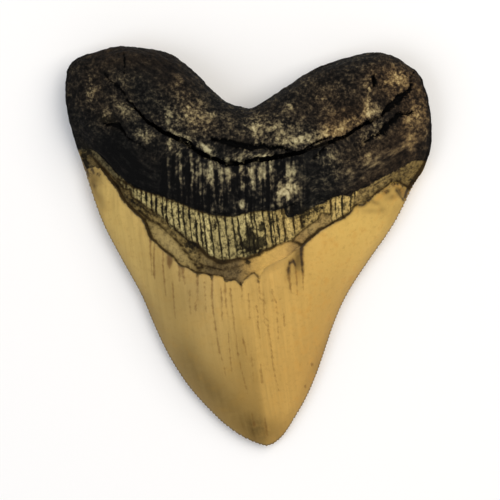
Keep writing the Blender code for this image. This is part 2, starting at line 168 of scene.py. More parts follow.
# The enamel, the neck and the bourlette are built of strands that run from root to tip. They lean a little
# and gather towards the tip.
LEAN = 0.13
LEANS_FROM_Y, LEANS_TO_Y = -10.0, 12.0
GATHER_X = 10.0
lean = LEAN * (np.clip(y, None, LEANS_TO_Y) - LEANS_FROM_Y)
gather = np.interp(y, [-70, -60, -40], [0.85, 0.93, 1.0])
strand = GATHER_X + (x + lean - GATHER_X) / gather

# ---------------------------------------------------------------------------------------------------------
# The crevices of the root
#
# The root dried and split along the grooves where it was fed by blood. Each crack is a line with its half
# width at every point. The main one is in the CAD tooth already, and is pulled here to its true course.
# ---------------------------------------------------------------------------------------------------------

CREVICE_AS_BUILT = [
    (-57.6, 39.6), (-52.8, 46.8), (-45.4, 50.2), (-37.4, 46.2), (-32.9, 41.8), (-26.2, 37.4), (-20.6, 33.4),
    (-14.0, 30.2), (-5.0, 29.4), (0.0, 29.4), (9.4, 29.7), (17.5, 32.2), (28.0, 34.9), (33.6, 38.0),
    (39.4, 42.1), (46.6, 46.4), (51.8, 47.2), (55.8, 43.2),
]  # fmt: skip
CRACKS = [
    [(-50.0, 59.7, 0.15), (-45.1, 54.8, 0.2), (-43.0, 52.0, 0.15), (-39.5, 48.5, 0.25), (-35.3, 43.6, 0.5),
     (-31.1, 40.4, 0.7), (-26.9, 38.0, 0.7), (-22.7, 35.9, 0.6), (-18.5, 33.1, 0.65), (-15.0, 31.0, 0.85),
     (-12.2, 30.3, 0.6), (-8.0, 28.9, 0.6), (-3.2, 28.9, 0.6), (1.2, 29.6, 0.7), (7.7, 30.0, 0.85),
     (13.6, 31.3, 0.65), (17.8, 32.4, 0.65), (21.3, 34.1, 0.55), (24.8, 35.9, 0.4), (27.7, 36.6, 0.1)],
    [(22.5, 29.8, 0.1), (24.9, 32.4, 0.3), (27.0, 34.1, 0.35), (29.8, 35.9, 0.5), (33.3, 38.0, 0.55),
     (36.8, 40.4, 0.45), (40.2, 42.5, 0.6), (44.4, 44.6, 0.55), (46.2, 45.7, 0.7), (48.6, 48.5, 0.9),
     (52.1, 51.3, 0.95), (54.9, 53.4, 0.7), (56.3, 55.5, 0.4), (56.8, 58.6, 0.2), (57.4, 61.0, 0.05)],
    [(0.4, 34.1, 0.9), (4.9, 34.2, 0.85), (8.0, 33.9, 0.7), (12.9, 33.4, 0.55), (16.0, 32.7, 0.4)],
    [(-12.2, 36.6, 0.4), (-9.5, 36.2, 0.9), (-6.0, 35.3, 1.0), (-2.1, 34.4, 0.8), (0.4, 34.0, 0.9)],
    [(38.5, 35.0, 0.1), (41.3, 37.3, 0.35), (45.9, 39.7, 0.7), (49.4, 42.9, 0.85), (52.9, 45.7, 0.6),
     (57.1, 46.7, 0.2)],
    [(-49.7, 42.7, 0.3), (-45.2, 41.5, 0.8), (-41.3, 37.3, 0.15), (-35.7, 33.8, 0.05)],
    [(43.1, 59.7, 0.2), (43.0, 56.5, 0.6), (42.6, 54.5, 0.2)],
    [(-43.4, 67.5, 0.1), (-43.2, 64.0, 0.2), (-43.2, 59.5, 0.05)],
]  # fmt: skip
CRACK_WANDER = 0.75
FAR_OFF = 50.0


def off_lines(lines, wander=0.0):
    """Each lingual point's distance from the sides of the nearest line. Below 0, it is on the line."""
    shift = wander * np.column_stack([rough(2.6, 3, 1), rough(2.6, 3, 2)]) if wander else 0
    nearest = np.full(count, FAR_OFF)
    for line in lines:
        for (x0, y0, half0), (x1, y1, half1) in zip(line[:-1], line[1:]):
            way = np.array([x1 - x0, y1 - y0])
            off = place[:, :2] + shift - (x0, y0)
            share = np.clip(off @ way / (way @ way), 0, 1)
            gap = np.linalg.norm(off - share[:, None] * way, axis=1) - half0 - (half1 - half0) * share
            nearest = np.minimum(nearest, gap)
    return np.where(lingual, nearest, FAR_OFF)


crack = off_lines(CRACKS, wander=CRACK_WANDER)

# ---------------------------------------------------------------------------------------------------------
# The relief
#
# Fossil enamel is worn smooth and only swells a little. The bourlette is ribbed along its strands. The root
# is bone, lumpy and pitted all over, with upright grooves under the crevice where its fibres split.
# ---------------------------------------------------------------------------------------------------------

# The gaps between the ribs, as strands. Beyond the first and the last, they go on at an even pitch.
RIB_PITCH = 1.3
MORE_RIBS = 25
RIB_GAPS = [
    -34.6, -32.8, -30.9, -29.2, -27.1, -25.7, -23.7, -21.5, -19.9, -17.8, -16.1, -14.5, -13.3, -11.0, -8.4,
    -5.8, -3.2, -1.3, 1.6, 3.3, 4.6, 7.4, 9.5, 10.7, 12.1, 14.2, 17.7, 20.5, 31.2, 33.0, 35.1, 38.2,
]  # fmt: skip
before = RIB_GAPS[0] + RIB_PITCH * np.arange(-MORE_RIBS, 0)
after = RIB_GAPS[-1] + RIB_PITCH * np.arange(1, MORE_RIBS)
rib_gaps = np.concatenate([before, RIB_GAPS, after])
wavy_strand = strand + 0.3 * rough(4.0, 3, 3)
rib = np.interp(wavy_strand, rib_gaps, np.arange(len(rib_gaps)))
rib_width = np.diff(rib_gaps)[rib.astype(int).clip(0, len(rib_gaps) - 2)]
ribbed = np.abs(np.sin(math.pi * rib)) ** 0.6

on_root = fade(to_lip, -0.2, 1.2)
on_bourlette = fade(to_foot, -0.2, 0.6) * fade(to_lip, 0.2, -0.6) * lingual
on_enamel = fade(to_margin, 0.1, -0.5)
on_neck = fade(to_margin, 0, 0.8) * fade(to_foot, 0.3, -0.5) * lingual

# How high each kind of relief stands, or how deep it is cut.
LUMP_HEIGHT, NECK_LUMP_HEIGHT, PIT_DEPTH = 0.34, 0.08, 0.2
FURROW_DEPTH, RIB_HEIGHT, CRACK_DEPTH = 0.35, 0.26, 1.5
ENAMEL_SWELL, RIDGE_HEIGHT = 0.1, 0.5
lumps = rough(5.5, 3, 4, stretch=(1.3, 1, 1))
pits = rough(1.7, 3, 5)
smooth_flank = np.exp(-(((x + 41) / 16) ** 2) - ((y - 27 + 0.45 * (x + 41)) / 9) ** 2)
grooved = fade(np.abs(x + 5), 30, 19) * fade(y, 33, 30) * on_root * lingual
bony = (LUMP_HEIGHT * lumps + PIT_DEPTH * pits) * (1 - 0.75 * smooth_flank)
relief = on_root * (bony - FURROW_DEPTH * grooved * (1 - ribbed))
relief += on_bourlette * (RIB_HEIGHT * (ribbed - 0.5) + 0.6 * PIT_DEPTH * pits)
relief += on_neck * (NECK_LUMP_HEIGHT * lumps + 0.5 * PIT_DEPTH * pits)
relief += on_enamel * ENAMEL_SWELL * rough(16.0, 2, 6)
relief -= fade(crack, 0.3, -0.5) * CRACK_DEPTH

# A soft ridge runs up the crown from its tip. It leans much less than the strands.
TIP_RIDGE_X, RIDGE_SPREAD, RIDGE_LEAN = 5.6, 5.0, 0.1 * LEAN
off_ridge = np.abs(strand - TIP_RIDGE_X - (LEAN - RIDGE_LEAN) * (y - LEANS_FROM_Y))
ridge_ends = fade(y, -38, -58) * fade(y, -69, -62)
relief += RIDGE_HEIGHT * np.exp(-off_ridge / RIDGE_SPREAD) * ridge_ends * on_enamel * lingual

# The flats that the tooth rests on stay as they are.
clear_of_rest = np.where(lingual, 1, fade(z, 0.0, 1.5))
moved = place + normal * (relief * clear_of_rest)[:, None]

# The crevice of the CAD tooth is drawn to where the crack runs, a millimetre or so at most, and its walls
# stand closer.
FURTHEST_PULL = 1.2
off_crevice = to_line(CREVICE_AS_BUILT)
true_course = np.array([point[:2] for point in CRACKS[0][3:17] + CRACKS[1][4:11]])
pull = np.interp(x, *true_course.T) - np.interp(x, *np.array(CREVICE_AS_BUILT).T)
pull = np.clip(pull, -FURTHEST_PULL, FURTHEST_PULL) * fade(x, -40, -36) * fade(x, 49, 45)
CREVICE_HALF, CLOSER = 1.0, 0.3
close = CLOSER * np.clip(off_crevice / CREVICE_HALF, -1, 1)
moved[:, 1] += pull * fade(np.abs(off_crevice), 6, 1) * lingual
moved[:, 1] -= close * fade(np.abs(off_crevice), 5, 1) * lingual
moved[:, 2] = np.maximum(moved[:, 2], 0)
mesh.vertices.foreach_set("co", (moved * MM).ravel())
mesh.update()
bpy.ops.object.shade_smooth_by_angle(angle=math.radians(75))

# ---------------------------------------------------------------------------------------------------------
# What the finish follows
#
# The finish follows how the tooth grew and wore, and in places shade is painted into it. Each value here is
# kept on the mesh for the material to read: distances to the lines above, strands, and where the root is
# worn or stained and where shade is painted.
# ---------------------------------------------------------------------------------------------------------

# Each line is drawn through (x, y, half width). Hairline cracks run down the enamel, filled with brown.
HAIRLINES = [
    [(-12.6, -10.3, 0.42), (-12.8, -13.5, 0.35), (-12.8, -17.0, 0.32), (-12.6, -20.8, 0.28),
     (-12.1, -24.3, 0.14), (-11.7, -27.8, 0.17), (-11.2, -31.0, 0.14), (-10.7, -33.8, 0.21),
     (-10.1, -36.9, 0.21), (-9.4, -39.0, 0.14), (-8.8, -41.1, 0.0), (-8.4, -43.6, 0.14),
     (-7.7, -46.7, 0.03)],
    [(-17.8, -9.6, 0.42), (-17.8, -13.8, 0.35), (-17.7, -18.7, 0.07)],
    [(-8.4, -12.1, 0.35), (-8.2, -14.5, 0.39), (-8.0, -18.7, 0.17), (-7.7, -21.5, 0.1), (-7.3, -25.0, 0.0)],
    [(-6.5, -14.5, 0.24), (-6.3, -17.7, 0.28), (-5.9, -20.5, 0.17), (-5.4, -24.0, 0.14),
     (-5.1, -27.5, 0.17), (-4.5, -31.7, 0.14), (-4.2, -35.2, 0.21), (-3.5, -38.7, 0.14),
     (-2.8, -42.5, 0.21), (-2.1, -44.6, 0.07), (-1.4, -47.8, 0.17), (-0.3, -51.6, 0.03)],
    [(-2.8, -13.1, 0.42), (-2.4, -15.2, 0.17), (-2.3, -18.7, 0.03)],
    [(-2.3, -31.0, 0.07), (-1.8, -33.4, 0.32), (-1.0, -36.2, 0.14), (-0.7, -38.3, 0.0)],
    [(3.3, -11.7, 0.39), (3.5, -14.2, 0.28), (3.8, -18.0, 0.1)],
    [(2.4, -19.8, 0.07), (3.0, -22.9, 0.17), (3.1, -27.5, 0.24), (3.7, -30.3, 0.24), (4.0, -33.1, 0.07)],
    [(4.0, -40.8, 0.07), (4.2, -43.9, 0.35), (4.5, -46.4, 0.24), (4.7, -48.5, 0.0)],
    [(6.5, -25.0, 0.1), (6.6, -28.5, 0.21), (7.3, -32.7, 0.14), (8.0, -36.9, 0.14), (8.2, -40.4, 0.17),
     (8.9, -44.3, 0.14), (9.8, -47.8, 0.1), (10.5, -50.9, 0.0)],
    [(12.2, -22.9, 0.07), (12.2, -26.4, 0.32), (12.4, -28.2, 0.0)],
    [(14.7, -16.3, 0.14), (14.0, -12.1, 0.45), (13.6, -8.2, 0.59), (14.0, -5.8, 0.56), (14.9, -4.7, 0.59),
     (15.7, -5.4, 0.45), (16.1, -7.5, 0.28), (16.6, -12.4, 0.17), (16.8, -17.0, 0.03)],
    [(18.2, 0.2, 0.66), (18.2, -3.3, 0.66), (18.4, -6.5, 0.45), (18.7, -8.9, 0.45), (18.7, -11.7, 0.21),
     (18.9, -15.9, 0.03)],
    [(15.0, 1.2, 0.42), (14.5, -1.2, 0.35), (12.9, -3.3, 0.28), (12.1, -4.4, 0.07)],
    [(-9.8, -13.8, 0.14), (-9.4, -18.7, 0.17), (-9.3, -25.0, 0.07)],
    [(-15.4, -12.4, 0.17), (-15.2, -17.3, 0.21), (-14.9, -22.9, 0.1)],
    [(-0.3, -15.9, 0.1), (0.0, -20.5, 0.17), (0.3, -26.4, 0.07)],
    [(4.9, -15.9, 0.1), (5.2, -20.8, 0.17), (5.4, -26.4, 0.07)],
    [(9.4, -18.7, 0.07), (9.8, -25.0, 0.17), (10.3, -32.0, 0.07)],
    [(-7.3, -29.2, 0.03), (-6.8, -35.5, 0.14), (-5.9, -43.9, 0.03)],
    [(0.7, -36.2, 0.03), (1.2, -41.8, 0.14), (1.8, -47.4, 0.07)],
    [(-26.6, -12.4, 0.17), (-26.2, -18.7, 0.14), (-25.7, -25.0, 0.03)],
    [(11.4, -17.0, 0.17), (10.5, -18.4, 0.17), (8.2, -18.0, 0.1), (7.7, -19.8, 0.17), (5.2, -20.8, 0.21),
     (4.2, -20.5, 0.07)],
    [(8.0, -14.9, 0.17), (8.2, -17.3, 0.07)],
    [(0.9, -57.6, 0.1), (1.4, -60.4, 0.17), (1.8, -62.5, 0.42), (1.9, -63.5, 0.07)],
    [(5.4, -59.0, 0.03), (5.8, -62.1, 0.21), (6.1, -64.2, 0.35), (6.3, -65.6, 0.28), (6.6, -66.7, 0.0)],
    [(-34.3, 3.0, 0.45), (-34.3, -1.9, 0.32), (-34.1, -5.4, 0.17), (-33.9, -10.0, 0.07)],
    [(-32.9, 0.9, 0.24), (-33.1, -5.4, 0.28), (-33.1, -9.6, 0.39), (-32.9, -11.4, 0.1)],
    [(-29.9, -1.2, 0.28), (-29.9, -6.8, 0.28), (-29.4, -13.1, 0.24), (-29.0, -17.3, 0.07)],
    [(-27.3, -2.6, 0.91), (-27.5, -4.4, 0.98), (-27.6, -6.1, 0.77), (-27.6, -7.5, 0.21)],
    [(-24.1, -6.5, 0.45), (-24.1, -9.6, 0.39), (-24.1, -12.4, 0.21)],
    [(-23.1, -6.8, 0.56), (-22.8, -10.0, 0.49), (-22.2, -13.1, 0.17)],
    [(-20.5, -14.5, 0.07), (-20.6, -18.7, 0.17), (-20.3, -22.6, 0.14), (-20.1, -24.3, 0.0)],
    [(-18.5, -18.7, 0.03), (-18.5, -21.2, 0.42), (-18.4, -22.9, 0.07)],
    [(22.0, -41.1, 0.35), (22.2, -41.8, 0.32)],
    [(19.6, -48.8, 0.28), (19.8, -49.5, 0.21)],
    [(21.3, -22.0, 0.21), (21.3, -22.6, 0.17)],
]  # fmt: skip

# Dark sediment stayed along the margin, along the foot of the bourlette, and around its tabs. The dark line
# along the lip of the bourlette, under the overhanging root, is painted shadow, and so is the line along
# the edge below the right shoulder.
SEDIMENT_AND_SHADE = [
    [(-55.6, 32.7, 0.21), (-53.5, 30.1, 0.45), (-51.4, 27.5, 0.56), (-49.3, 24.8, 0.56),
     (-47.9, 22.9, 0.59), (-45.8, 20.8, 0.63), (-44.8, 18.7, 0.63), (-43.9, 16.8, 0.59),
     (-42.3, 15.0, 0.56), (-40.9, 13.5, 0.59), (-38.8, 11.5, 0.63), (-37.1, 10.1, 0.63), (-35.7, 7.5, 0.66),
     (-34.6, 4.4, 0.77), (-33.8, 2.8, 0.56), (-32.5, 1.9, 0.42), (-30.8, 0.0, 0.45), (-29.0, -1.6, 0.45),
     (-26.9, -3.0, 0.52), (-25.9, -3.7, 0.35), (-24.8, -5.4, 0.32), (-23.6, -6.6, 0.24),
     (-21.3, -7.2, 0.28), (-19.6, -8.2, 0.28), (-17.8, -9.1, 0.39), (-15.7, -9.1, 0.24),
     (-13.3, -9.8, 0.35), (-11.2, -9.8, 0.17), (-9.1, -10.3, 0.24), (-8.0, -11.7, 0.21),
     (-7.0, -11.7, 0.24), (-5.2, -11.4, 0.17), (-3.5, -12.1, 0.28), (-2.8, -13.1, 0.35),
     (-1.8, -11.7, 0.21), (-0.7, -10.7, 0.21), (0.7, -9.4, 0.24), (1.8, -9.1, 0.24), (3.0, -10.3, 0.24),
     (3.3, -12.1, 0.17)],
    [(-50.8, 27.6, 0.14), (-48.6, 25.4, 0.17), (-46.5, 23.3, 0.28), (-44.8, 21.9, 0.42),
     (-43.8, 20.1, 0.42), (-41.3, 19.8, 0.42), (-40.6, 17.1, 0.49), (-38.1, 15.6, 0.42),
     (-35.3, 13.6, 0.35), (-32.2, 11.5, 0.35), (-30.4, 10.1, 0.39), (-28.7, 8.8, 0.42), (-27.3, 7.5, 0.42),
     (-25.2, 5.8, 0.39), (-23.4, 4.2, 0.39), (-22.0, 3.0, 0.39), (-20.6, 1.4, 0.84), (-19.2, 1.2, 0.59),
     (-17.5, 0.3, 0.77), (-16.1, -1.4, 0.77), (-14.3, -3.1, 0.7), (-12.6, -4.0, 0.7), (-10.8, -5.1, 0.91),
     (-8.8, -5.4, 0.84), (-6.3, -4.9, 0.59), (-3.1, -4.2, 0.49), (-0.7, -4.4, 0.56), (1.0, -3.3, 0.59),
     (3.1, -2.8, 0.59), (5.2, -1.4, 0.45), (7.3, -0.7, 0.52), (9.8, 0.5, 0.39), (12.2, 1.4, 0.28),
     (14.7, 2.1, 0.28), (16.4, 3.8, 0.24), (18.9, 5.9, 0.24), (21.3, 7.7, 0.17), (23.8, 9.4, 0.28),
     (24.7, 11.5, 0.24), (26.6, 11.4, 0.21), (28.3, 11.2, 0.28), (28.5, 14.2, 0.32), (27.8, 16.3, 0.21)],
    [(-38.1, 12.4, 0.52), (-35.3, 10.0, 0.59), (-32.9, 8.6, 0.49), (-30.8, 7.5, 0.49), (-29.0, 5.9, 0.45),
     (-27.3, 4.4, 0.45), (-25.5, 2.6, 0.49), (-23.8, 1.2, 0.52), (-22.8, -0.9, 0.52), (-21.3, -2.6, 0.42),
     (-19.9, -4.4, 0.42), (-18.5, -6.1, 0.49), (-17.1, -8.2, 0.49)],
    [(-41.3, 16.3, 0.28), (-39.5, 14.9, 0.32), (-37.8, 14.2, 0.14), (-35.7, 12.4, 0.24),
     (-33.9, 11.4, 0.32), (-31.8, 10.3, 0.14)],
    [(-17.5, -0.2, 0.21), (-17.1, -3.3, 0.28), (-17.0, -5.8, 0.24), (-15.0, -6.8, 0.14)],
    [(-17.8, -7.7, 0.32), (-15.4, -6.8, 0.35), (-12.9, -7.2, 0.32), (-10.1, -7.9, 0.32), (-5.9, -7.7, 0.24),
     (-3.1, -6.8, 0.14)],
    [(15.0, 1.8, 0.39), (17.1, 1.2, 0.35), (18.4, 0.3, 0.7), (19.6, 1.6, 0.52), (21.0, 3.0, 0.63),
     (22.8, 4.2, 0.52), (24.1, 5.6, 0.66), (26.6, 6.8, 0.45), (29.0, 8.2, 0.45), (31.1, 9.4, 0.56),
     (32.9, 10.3, 0.63), (35.0, 11.7, 0.45), (36.0, 13.3, 0.35), (37.4, 14.5, 0.28), (39.5, 14.3, 0.21),
     (40.9, 15.6, 0.21), (42.7, 17.3, 0.24), (45.1, 19.4, 0.24), (47.6, 20.8, 0.21), (49.7, 22.9, 0.24)],
    [(11.9, 13.5, 0.35), (12.1, 8.6, 0.28), (12.4, 5.1, 0.24), (13.3, 2.6, 0.24)],
    [(14.7, 9.6, 0.32), (15.4, 7.2, 0.24), (15.7, 4.4, 0.17)],
    [(17.7, 10.3, 0.32), (18.2, 8.2, 0.45), (18.9, 6.5, 0.32)],
    [(51.8, 22.9, 0.42), (53.9, 21.9, 0.35), (56.3, 20.3, 0.45)],
    [(51.4, 19.8, 0.17), (52.8, 18.0, 0.17), (54.2, 16.3, 0.24)],
    [(-3.1, 1.6, 0.17), (-1.8, 0.2, 0.21), (0.0, -1.2, 0.24)],
    [(13.5, -9.6, 0.1), (13.6, -8.2, 0.32), (14.0, -5.8, 0.32), (14.9, -4.7, 0.39), (15.7, -5.4, 0.28),
     (16.1, -7.2, 0.07)],
    [(18.2, 0.2, 0.45), (18.0, -3.3, 0.49), (18.3, -5.4, 0.32), (18.5, -8.9, 0.17)],
    [(-1.0, -1.9, 0.21), (1.8, -0.5, 0.24), (4.5, -1.2, 0.21)],
    [(0.0, 8.6, 0.17), (0.3, 5.8, 0.32), (0.7, 3.0, 0.35)],
    # Painted shade: the dark edge below the right shoulder, and next the shadow under the root's
    # overhanging lip.
    [(63.0, 32.7, 0.56), (61.2, 28.5, 0.7), (59.1, 25.0, 0.77), (57.0, 21.9, 0.84), (55.6, 19.8, 0.7),
     (54.6, 17.3, 0.42)],
    [(-45.8, 23.6, 0.35), (-42.3, 21.9, 0.42), (-39.5, 20.6, 0.45), (-34.6, 18.9, 0.42),
     (-29.4, 17.1, 0.42), (-24.1, 15.4, 0.42), (-18.9, 13.1, 0.45), (-14.7, 11.7, 0.52),
     (-10.1, 10.8, 0.45), (-4.9, 10.8, 0.42), (0.3, 12.1, 0.45), (4.9, 12.6, 0.52), (9.8, 12.6, 0.45),
     (11.9, 13.3, 0.35)],
]  # fmt: skip

# Patches, each (x, y, half length, half width, turn in degrees, strength): where pale bone shows, where the
# root or the enamel is browner, and where dark sediment stayed. On the enamel, many of the brown patches
# are
# painted shade: on its lower left, towards its tip and along its edges.
BARE = [
    (-54.9, 53.7, 1.4, 4.5, 0, 0.5), (-49.0, 45.3, 1.8, 2.4, 0, 0.5), (-42.7, 47.1, 5.9, 2.4, -40, 0.45),
    (-35.3, 39.4, 2.8, 1.8, -35, 0.6), (-19.9, 45.0, 8.4, 5.9, -35, 0.63),
    (-24.8, 38.7, 8.4, 1.9, -33, 0.5), (-14.7, 33.4, 2.4, 1.2, -35, 2.0), (-3.8, 43.6, 9.1, 4.9, 0, 0.12),
    (-11.5, 45.7, 2.1, 1.0, 0, 0.8), (-27.6, 45.3, 1.0, 2.8, 0, 0.7), (-24.1, 56.9, 1.4, 2.8, 0, 0.4),
    (-35.7, 65.3, 2.8, 2.1, 0, 0.3), (-45.1, 57.6, 3.5, 2.4, 0, 0.2), (2.1, 40.8, 1.8, 4.9, 0, 0.6),
    (8.4, 40.1, 7.7, 4.9, 0, 0.42), (15.0, 36.2, 4.9, 1.8, 0, 0.6), (14.0, 48.5, 1.4, 2.1, 0, 0.6),
    (28.3, 46.4, 2.1, 2.1, 0, 0.3), (19.9, 56.9, 1.8, 1.8, 0, 0.3), (25.2, 52.0, 1.8, 2.1, 0, 0.3),
    (25.5, 37.3, 4.9, 2.1, 22, 0.8), (33.9, 41.5, 5.6, 2.1, 28, 0.95), (42.3, 46.4, 3.8, 1.8, 30, 0.9),
    (22.8, 38.3, 11.2, 2.8, 18, 0.33), (22.8, 14.2, 4.9, 1.8, 12, 0.25), (41.3, 53.4, 1.4, 4.2, 0, 0.6),
    (50.8, 57.6, 5.2, 4.2, 0, 0.6), (53.5, 59.0, 2.4, 2.8, 0, 0.5), (40.9, 48.5, 1.0, 2.8, 0, 0.5),
    (58.8, 46.0, 3.5, 7.0, 0, 0.6), (56.7, 38.0, 2.8, 4.9, 0, 0.4), (35.3, 26.1, 9.1, 4.2, 15, 0.12),
    (-37.1, 38.0, 3.1, 1.2, -42, 0.6), (-44.4, 49.9, 2.1, 1.4, -40, 0.3), (56.0, 44.6, 2.1, 1.8, 20, 0.8),
    (41.6, 38.0, 5.6, 2.1, 30, 0.5), (44.4, 42.5, 2.8, 1.0, 30, 0.4), (48.6, 32.7, 11.9, 3.1, 30, 0.22),
    (42.3, 31.0, 2.8, 1.8, 20, 0.3), (61.9, 38.7, 1.4, 2.8, 0, 0.4), (28.0, 31.0, 1.8, 2.1, 0, 0.6),
    (24.1, 30.3, 1.4, 1.4, 0, 0.3), (40.9, 29.9, 1.0, 2.4, 0, 0.45), (-41.6, 60.0, 21.0, 10.5, 0, 0.05),
    (-53.9, 54.8, 2.8, 5.6, 0, 0.15), (17.8, 47.1, 14.0, 7.0, 10, 0.05), (52.8, 55.5, 7.7, 8.4, 0, 0.09),
    (40.6, 30.3, 14.0, 4.9, 20, 0.14), (57.0, 42.5, 6.3, 8.4, 0, 0.02), (-32.9, 66.0, 14.0, 3.5, -5, -0.12),
    (21.3, 59.0, 14.0, 3.5, 20, -0.05), (35.3, 54.8, 21.0, 10.5, 20, 0.16), (17.8, 39.0, 21.0, 3.5, 0, 0.1),
    (-1.4, 26.8, 9.1, 5.6, 0, 0.15), (-41.6, 26.8, 11.9, 5.6, -25, -0.33),
    (-20.6, 17.0, 14.0, 2.8, -12, -0.19), (17.8, 16.3, 17.5, 2.8, 0, -0.15),
    (-48.6, 33.8, 5.6, 3.5, 0, -0.2), (-27.3, 34.8, 1.0, 2.1, 0, 0.8), (-24.1, 32.0, 1.0, 2.8, 0, 0.8),
    (-21.3, 33.1, 1.0, 3.1, 0, 0.5), (-17.8, 26.1, 1.4, 2.8, 0, 0.7), (-13.6, 24.0, 1.4, 4.2, 0, 0.8),
    (-10.1, 25.4, 1.0, 4.9, 0, 0.8), (-5.9, 25.7, 1.0, 2.8, 0, 0.7), (-0.3, 24.7, 1.8, 4.2, 0, 1.05),
    (4.2, 25.0, 1.4, 3.1, 0, 1.0), (7.3, 27.5, 0.7, 2.8, 0, 0.9), (12.2, 25.4, 1.8, 2.4, 0, 0.9),
    (12.6, 18.7, 3.5, 3.8, 0, 1.6), (-3.1, 28.2, 0.9, 2.1, 0, 0.9), (15.0, 26.8, 1.0, 1.8, 0, 0.6),
    (-3.1, 31.0, 7.7, 1.8, 0, 0.5), (4.9, 31.0, 2.4, 0.8, 0, 1.5), (-2.8, 14.5, 1.4, 1.8, 0, 1.2),
    (-8.4, 13.1, 1.4, 0.9, 0, 0.8), (-12.9, 14.2, 1.0, 0.7, 0, 0.4), (-6.6, 20.5, 14.0, 2.8, 0, 0.15),
    (-26.9, 0.2, 8.8, 2.8, -42, 1.05), (21.0, 6.5, 3.5, 1.8, 30, 0.5), (-15.0, -4.7, 3.5, 1.8, 0, 0.25),
    (-5.9, 28.2, 14.0, 3.5, 0, 0.12), (35.3, 23.3, 14.0, 4.2, 10, 0.12),
]  # fmt: skip
BROWN_AND_SHADE = [
    (58.1, 47.8, 7.7, 14.0, 0, 1.0), (49.3, 58.3, 10.5, 8.4, 0, 0.9), (44.1, 33.8, 14.0, 6.3, 30, 0.7),
    (33.6, 44.3, 9.1, 4.2, 28, 0.9), (31.8, 39.4, 11.9, 2.4, 26, 0.6), (-38.1, 67.0, 17.5, 5.6, 0, 0.7),
    (-25.9, 56.5, 10.5, 5.6, -20, 0.5), (-52.1, 53.0, 7.0, 10.5, 0, 0.4),
    (-18.9, 44.3, 10.5, 5.6, -35, 0.45), (14.3, 44.3, 14.0, 7.0, 0, 0.25), (45.8, 23.3, 17.5, 4.2, 32, 0.9),
    (28.3, 51.3, 14.0, 8.8, 0, 0.4), (15.4, -5.4, 3.1, 9.1, 0, 0.28), (16.4, 3.0, 3.5, 2.8, 0, 0.3),
    (5.6, -17.0, 4.9, 3.5, 0, 0.12), (29.0, -18.7, 7.7, 14.0, -20, 0.16),
    (22.0, -36.9, 5.6, 11.9, -15, 0.14), (50.0, 12.8, 6.3, 4.2, 20, 0.22), (17.0, -4.0, 1.5, 5.9, 0, 0.75),
    (12.9, -8.9, 1.0, 4.2, 0, 0.25), (-53.2, 24.7, 2.8, 3.5, 0, 0.2), (47.6, 17.0, 5.6, 2.1, 30, 0.15),
    (-31.8, -5.4, 4.2, 7.7, 0, 0.14), (-27.5, -4.7, 1.0, 2.4, 0, 0.9), (-54.2, 20.1, 1.2, 4.9, 18, 0.55),
    (-55.3, 26.8, 3.1, 1.8, 0, 0.5), (-53.9, 23.3, 2.8, 2.4, 0, 0.5), (-51.8, 17.3, 1.4, 2.4, 20, 0.3),
    (-50.8, 14.2, 1.4, 2.1, 20, 0.25), (39.5, 14.9, 2.1, 0.9, 20, 0.9), (47.9, 19.1, 1.4, 0.9, 30, 0.8),
    (44.1, 15.2, 1.8, 0.7, -20, 0.45), (46.2, 12.8, 1.4, 1.0, 30, 0.3), (50.4, 17.3, 1.8, 1.0, 20, 0.5),
    (53.2, 19.1, 3.1, 1.4, -45, 0.85), (54.2, 20.5, 1.4, 1.0, 0, 0.4), (42.3, 12.4, 3.1, 1.0, 0, 0.3),
    # From here on the patches are mostly painted shade on the enamel: its lower left, its tip and its
    # edges.
    (-30.4, -20.5, 7.0, 9.1, 10, 0.1), (-22.0, -36.9, 4.9, 8.4, 20, 0.3),
    (-17.1, -46.0, 12.6, 6.3, -52, 0.3), (-7.3, -54.4, 11.2, 8.4, -48, 0.24),
    (-12.6, -52.3, 16.8, 5.6, -46, 0.3), (-0.3, -63.5, 8.4, 5.6, -36, 0.34),
    (2.8, -58.6, 2.8, 9.8, -3, 0.1), (5.9, -64.9, 6.6, 4.9, 0, 0.36), (-2.1, -42.5, 9.1, 14.0, 10, 0.14),
    (4.5, -8.2, 4.9, 1.0, 20, 0.45), (9.4, -5.8, 3.5, 0.9, 30, 0.4), (-36.0, -20.5, 15.7, 2.4, -58, 0.3),
    (31.8, -26.4, 28.0, 2.1, 63, 0.3), (-22.8, -18.0, 8.4, 9.8, 10, 0.2), (10.1, -62.8, 4.2, 4.2, 0, 0.12),
    (-2.4, -34.5, 2.1, 8.4, 0, 0.1),
]  # fmt: skip
